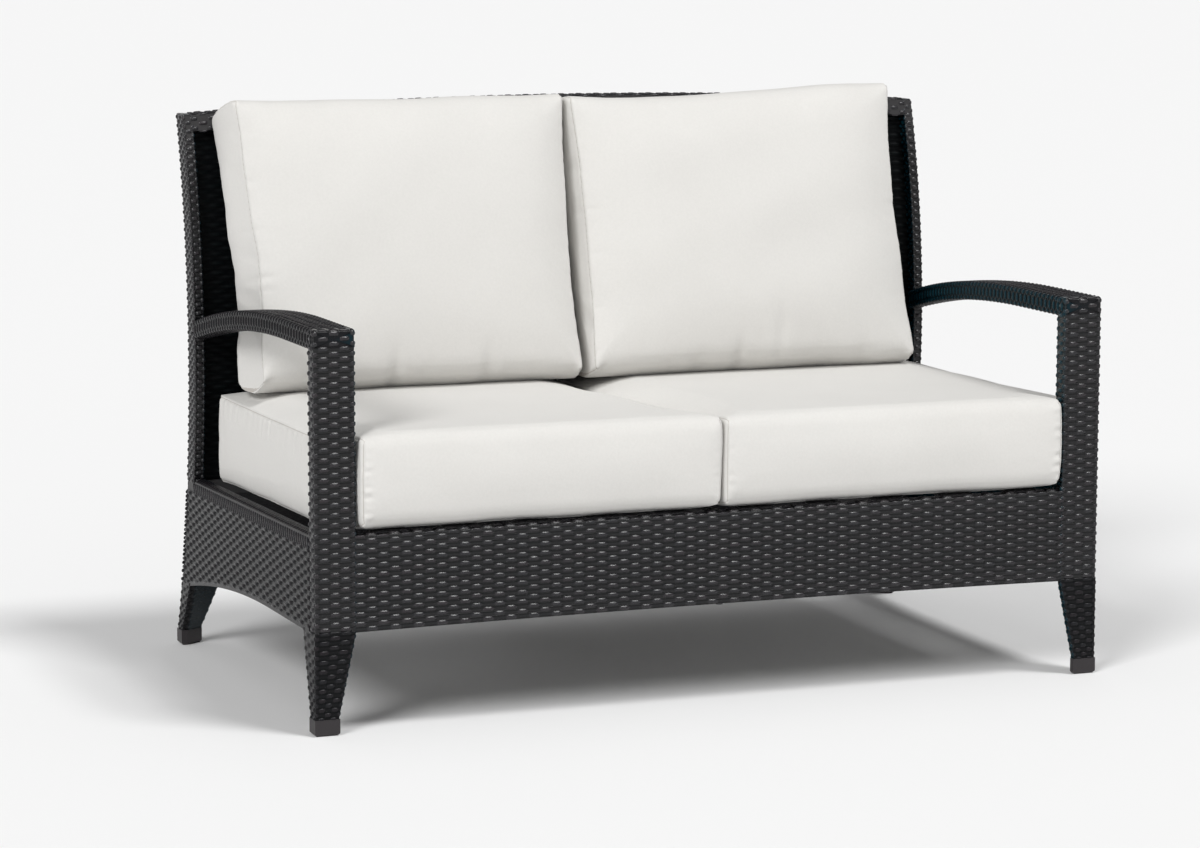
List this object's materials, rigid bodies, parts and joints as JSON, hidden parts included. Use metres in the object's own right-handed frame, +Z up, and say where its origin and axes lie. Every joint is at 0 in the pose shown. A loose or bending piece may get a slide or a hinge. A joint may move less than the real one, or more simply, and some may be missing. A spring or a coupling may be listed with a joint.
{
  "type": "patio loveseat",
  "caption": "Outdoor loveseat with a woven resin frame, arched arms, a curved back that flares at top and feet, and loose cream seat and back cushions.",
  "frame": {"origin": "on the floor under the middle of the whole object", "axes": "+X to the right as seen from the front, +Y towards the back, +Z up; the front faces -Y"},
  "size_m": [1.4, 0.827, 0.9684],
  "materials": {
    "wicker": "satin woven resin",
    "frame_tube": "powder coated",
    "foot_plastic": "satin",
    "webbing": "woven strap",
    "bolt_steel": "dark zinc",
    "cover_cloth": "matt woven cloth",
    "foam": "open foam"
  },
  "bodies": {
    "frame": {"arm_tube_left": "frame_tube", "arm_tube_right": "frame_tube", "arm_weave_left": "wicker", "arm_weave_right": "wicker", "back_panel_weave": "wicker", "back_top_rail": "frame_tube", "back_upright_left": "frame_tube", "back_upright_middle": "frame_tube", "back_upright_right": "frame_tube", "brace_bolt": "bolt_steel", "brace_support": "frame_tube", "foot_front_left": "foot_plastic", "foot_front_right": "foot_plastic", "foot_rear_left": "foot_plastic", "foot_rear_right": "foot_plastic", "front_apron_weave": "wicker", "front_leg_core_left": "frame_tube", "front_leg_core_right": "frame_tube", "front_leg_weave_left": "wicker", "front_leg_weave_right": "wicker", "front_post_left": "frame_tube", "front_post_right": "frame_tube", "front_post_weave_left": "wicker", "front_post_weave_right": "wicker", "front_rail_weave": "wicker", "lower_rail_front": "frame_tube", "lower_rail_left": "frame_tube", "lower_rail_rear": "frame_tube", "lower_rail_right": "frame_tube", "rear_leg_core_left": "frame_tube", "rear_leg_core_right": "frame_tube", "rear_leg_weave_left": "wicker", "rear_leg_weave_right": "wicker", "rear_post_left": "frame_tube", "rear_post_right": "frame_tube", "rear_post_weave_left": "wicker", "rear_post_weave_right": "wicker", "rear_weave": "wicker", "seat_brace": "frame_tube", "seat_rail_front": "frame_tube", "seat_rail_left": "frame_tube", "seat_rail_rear": "frame_tube", "seat_rail_right": "frame_tube", "seat_webbing_left": "webbing", "seat_webbing_right": "webbing", "side_apron_weave_left": "wicker", "side_apron_weave_right": "wicker", "side_rail_weave_left": "wicker", "side_rail_weave_right": "wicker", "top_rail_weave": "wicker"},
    "back_cushion_left": {"back_core_left": "foam", "back_cushion_left": "cover_cloth"},
    "back_cushion_right": {"back_core_right": "foam", "back_cushion_right": "cover_cloth"},
    "seat_cushion_left": {"seat_core_left": "foam", "seat_cushion_left": "cover_cloth"},
    "seat_cushion_right": {"seat_core_right": "foam", "seat_cushion_right": "cover_cloth"}
  },
  "joints": [
    {"name": "seat_cushion_left_lift", "type": "slide", "parent": "frame", "child": "seat_cushion_left", "axis": [0, 0, 1], "range_m": [0, 0.08]},
    {"name": "seat_cushion_right_lift", "type": "slide", "parent": "frame", "child": "seat_cushion_right", "axis": [0, 0, 1], "range_m": [0, 0.08]},
    {"name": "back_cushion_left_lift", "type": "slide", "parent": "seat_cushion_left", "child": "back_cushion_left", "axis": [0, 0, 1], "range_m": [0, 0.15]},
    {"name": "back_cushion_right_lift", "type": "slide", "parent": "seat_cushion_right", "child": "back_cushion_right", "axis": [0, 0, 1], "range_m": [0, 0.15]}
  ]
}
